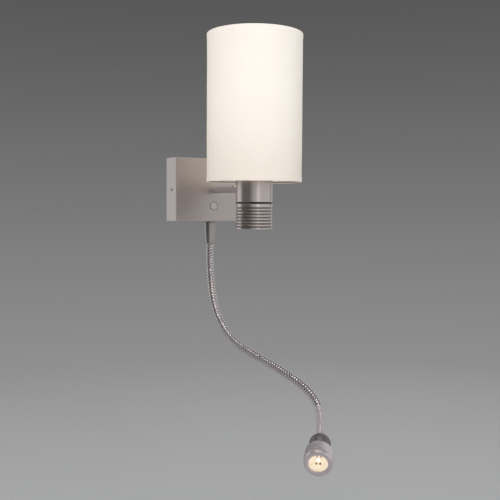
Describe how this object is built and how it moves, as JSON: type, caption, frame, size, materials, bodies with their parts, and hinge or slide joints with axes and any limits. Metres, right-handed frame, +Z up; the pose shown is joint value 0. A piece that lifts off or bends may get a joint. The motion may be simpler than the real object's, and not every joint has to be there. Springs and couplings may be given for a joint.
{
  "type": "wall lamp",
  "caption": "Wall lamp with a drum shade on a short arm from a rectangular wall box, a ribbed dimmer knob below it, and a flexible neck with a small reading spotlight.",
  "frame": {"origin": "centre of the wall box's back, on the wall", "axes": "+Z up, +Y into the wall, +X to the right of someone who faces the wall; the lamp stands out along -Y"},
  "size_m": [0.1358, 0.286, 0.5763],
  "materials": {
    "nickel": "satin brushed nickel plate",
    "nickel_body": "turned and satin nickel plated",
    "nickel_knob": "turned with bright groove edges",
    "nickel_head": "turned and satin nickel plated",
    "neck_steel": "wound steel, satin nickel plated",
    "zinc_steel": "zinc plated pressed steel",
    "brass": "plain turned brass",
    "dark_cap": "dark grey satin coat",
    "black_ring": "matt black",
    "rubber": "soft black rubber",
    "white_plastic": "white heat-proof plastic",
    "dark_plastic": "fine grained black plastic",
    "shade_fabric": "off-white laminated fabric, plain weave",
    "white_wire": "white powder coated wire",
    "bulb_cap": "rolled aluminium thread",
    "bulb_glass": "opal glass",
    "lens_glass": "clear glass",
    "reflector": "polished reflector",
    "led_yellow": "phosphor dome"
  },
  "bodies": {
    "wall_unit": {"arm": "nickel", "arm_nut_front": "brass", "arm_nut_rear": "brass", "box_cover": "nickel", "bulb_cap": "bulb_cap", "bulb_glass": "bulb_glass", "cable_grommet": "rubber", "contact_insert": "white_plastic", "contact_tongue": "brass", "cover_screw_left": "zinc_steel", "cover_screw_right": "zinc_steel", "dimmer_module": "dark_plastic", "dimmer_nut": "brass", "earth_terminal": "brass", "ferrule_nut": "brass", "lamp_body": "nickel_body", "lampholder": "white_plastic", "led_driver": "dark_plastic", "neck_ferrule": "nickel", "neck_root": "neck_steel", "nipple": "brass", "nipple_nut": "brass", "push_switch_body": "dark_plastic", "shade_fitter": "white_wire", "shade_lock_ring": "white_plastic", "shade_skin": "shade_fabric", "shade_top_ring": "white_wire", "shadow_gap_ring": "black_ring", "switch_clip": "zinc_steel", "switch_plate": "zinc_steel", "terminal_block": "white_plastic", "wall_bracket": "zinc_steel"},
    "knob": {"knob": "nickel_knob", "dimmer_shaft": "brass"},
    "button": {"push_button": "nickel"},
    "neck_1": {"neck_segment_1": "neck_steel"},
    "neck_2": {"neck_segment_2": "neck_steel"},
    "neck_3": {"neck_segment_3": "neck_steel"},
    "neck_4": {"neck_segment_4": "neck_steel"},
    "neck_5": {"neck_segment_5": "neck_steel"},
    "neck_6": {"neck_segment_6": "neck_steel"},
    "neck_7": {"neck_segment_7": "neck_steel"},
    "neck_8": {"neck_segment_8": "neck_steel", "neck_end_sleeve": "nickel"},
    "swivel": {"head_socket": "dark_cap"},
    "head": {"head_bell": "nickel_head", "led_board": "white_plastic", "led_emitter": "led_yellow", "reflector": "reflector", "front_glass": "lens_glass", "front_bezel": "nickel_head"}
  },
  "joints": [
    {"name": "knob_turn", "type": "hinge", "parent": "wall_unit", "child": "knob", "pos_m": [0, -0.146, -0.038], "axis": [0, 0, 1], "range_deg": [0, 270]},
    {"name": "button_press", "type": "slide", "parent": "wall_unit", "child": "button", "axis": [0, 1, 0], "range_m": [0, 0.0015], "stiffness_N_per_m": 400, "springref_m": -0.002},
    {"name": "neck_bend_1", "type": "hinge", "parent": "wall_unit", "child": "neck_1", "pos_m": [0, -0.02022, -0.101], "axis": [1, 0, 0], "range_deg": [-40, 20]},
    {"name": "neck_bend_2", "type": "hinge", "parent": "neck_1", "child": "neck_2", "pos_m": [0, -0.02498, -0.14167], "axis": [0, -0.9785, 0.2063], "range_deg": [-40, 40]},
    {"name": "neck_bend_3", "type": "hinge", "parent": "neck_2", "child": "neck_3", "pos_m": [0.00082, -0.03819, -0.18033], "axis": [-0.9972, -0.0289, -0.0686], "range_deg": [-40, 40]},
    {"name": "neck_bend_4", "type": "hinge", "parent": "neck_3", "child": "neck_4", "pos_m": [0.0076, -0.06184, -0.21286], "axis": [-0.0523, -0.719, 0.6931], "range_deg": [-40, 40]},
    {"name": "neck_bend_5", "type": "hinge", "parent": "neck_4", "child": "neck_5", "pos_m": [0.02252, -0.09268, -0.23501], "axis": [-0.8913, -0.3015, -0.3387], "range_deg": [-40, 40]},
    {"name": "neck_bend_6", "type": "hinge", "parent": "neck_5", "child": "neck_6", "pos_m": [0.03998, -0.12668, -0.24979], "axis": [0.1805, 0.4489, -0.8751], "range_deg": [-40, 40]},
    {"name": "neck_bend_7", "type": "hinge", "parent": "neck_6", "child": "neck_7", "pos_m": [0.05422, -0.16195, -0.26506], "axis": [0.9334, 0.2039, 0.2954], "range_deg": [-40, 40]},
    {"name": "neck_bend_8", "type": "hinge", "parent": "neck_7", "child": "neck_8", "pos_m": [0.06418, -0.19675, -0.28405], "axis": [0.1367, 0.5934, -0.7932], "range_deg": [-40, 40]},
    {"name": "head_swivel", "type": "hinge", "parent": "neck_8", "child": "swivel", "pos_m": [0.04529, -0.24138, -0.3376], "axis": [-0.4197, -0.499, -0.7582], "range_deg": [-150, 150]},
    {"name": "head_tilt", "type": "hinge", "parent": "swivel", "child": "head", "pos_m": [0.04529, -0.24138, -0.3376], "axis": [-0.7682, 0.6402, 0.0039], "range_deg": [-75, 8]}
  ]
}
